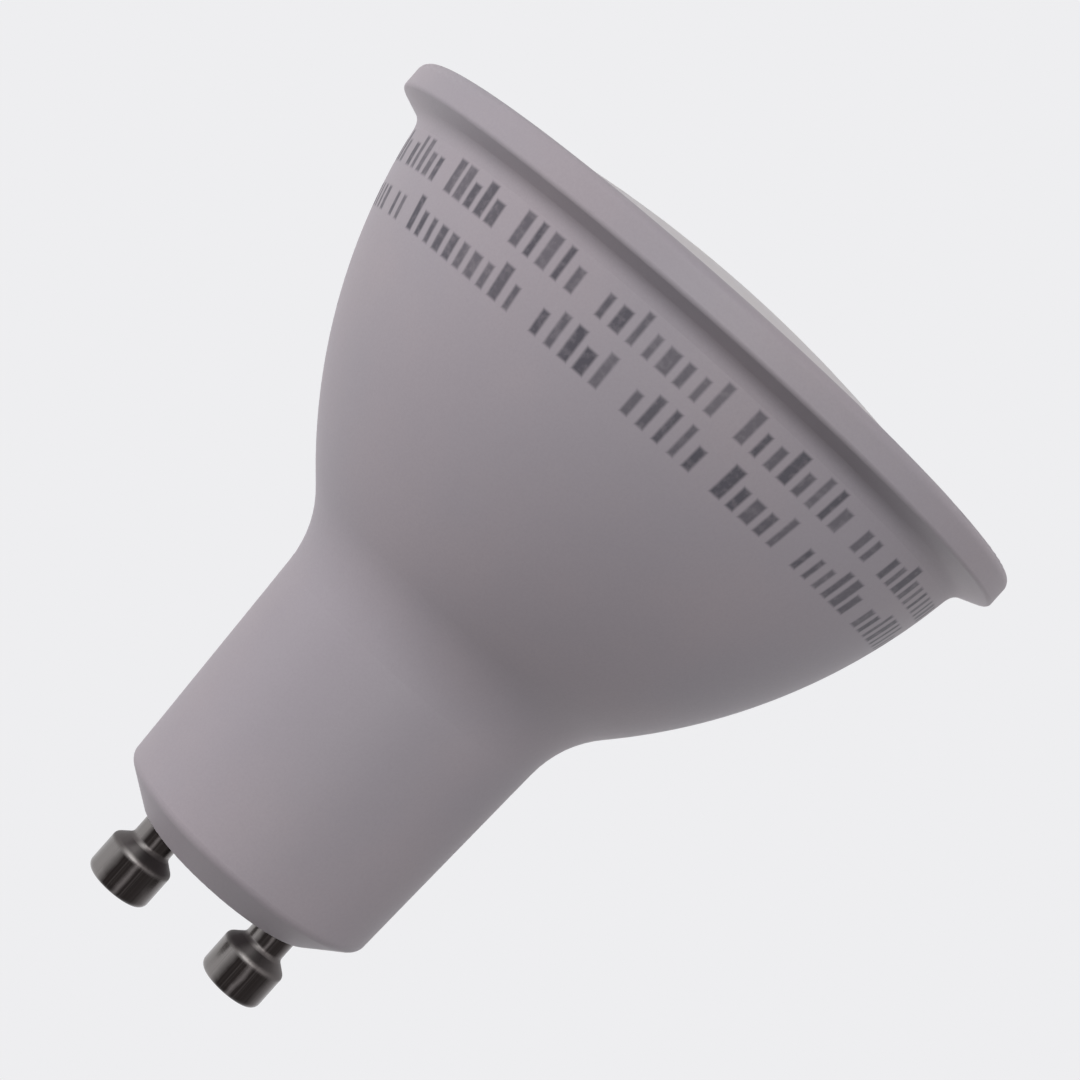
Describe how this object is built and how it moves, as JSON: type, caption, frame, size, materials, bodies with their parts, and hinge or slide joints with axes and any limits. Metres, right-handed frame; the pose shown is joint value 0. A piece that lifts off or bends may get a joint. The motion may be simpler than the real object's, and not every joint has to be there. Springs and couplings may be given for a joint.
{
  "type": "gu10 spotlight bulb",
  "caption": "Reflector-shaped LED spotlight bulb: moulded bell housing, milky domed cover, heat sink and driver inside, and a twist-lock base with headed contact pins.",
  "frame": {"origin": "centre of the flat end of the base, midway between the two contact pins", "axes": "+Z out of the base along the pins, so the domed cover faces down as in a ceiling fitting; X through both pins"},
  "size_m": [0.051, 0.051, 0.0569],
  "materials": {
    "housing": "fine moulded satin",
    "cover": "milky, satin",
    "pin_metal": "turned and nickel plated",
    "heat_sink": "drawn sheet",
    "thermal_pad": "soft matte",
    "led_board": "white solder mask",
    "led": "phosphor in a white case",
    "screw": "zinc plated",
    "driver_board": "green solder mask",
    "chip": "moulded epoxy",
    "can": "shrink sleeve on a can",
    "choke": "ferrite with copper winding",
    "film_case": "moulded case",
    "resistor": "lacquered, with colour bands",
    "input_lead": "white insulation",
    "lead_red": "red insulation",
    "lead_black": "black insulation"
  },
  "bodies": {
    "root": {"housing": "housing", "diffuser_cover": "cover", "heat_sink_cup": "heat_sink", "thermal_pad": "thermal_pad", "led_board": "led_board", "led_1": "led", "led_2": "led", "led_3": "led", "led_4": "led", "led_5": "led", "led_6": "led", "led_7": "led", "led_8": "led", "board_screws": "screw", "contact_pin_right": "pin_metal", "contact_pin_left": "pin_metal", "input_lead_right": "input_lead", "input_lead_left": "input_lead", "led_lead_positive": "lead_red", "led_lead_negative": "lead_black", "driver_board": "driver_board", "electrolytic_capacitor": "can", "choke_inductor": "choke", "film_capacitor": "film_case", "fusible_resistor": "resistor", "bridge_rectifier": "chip", "driver_chip": "chip"}
  },
  "joints": []
}
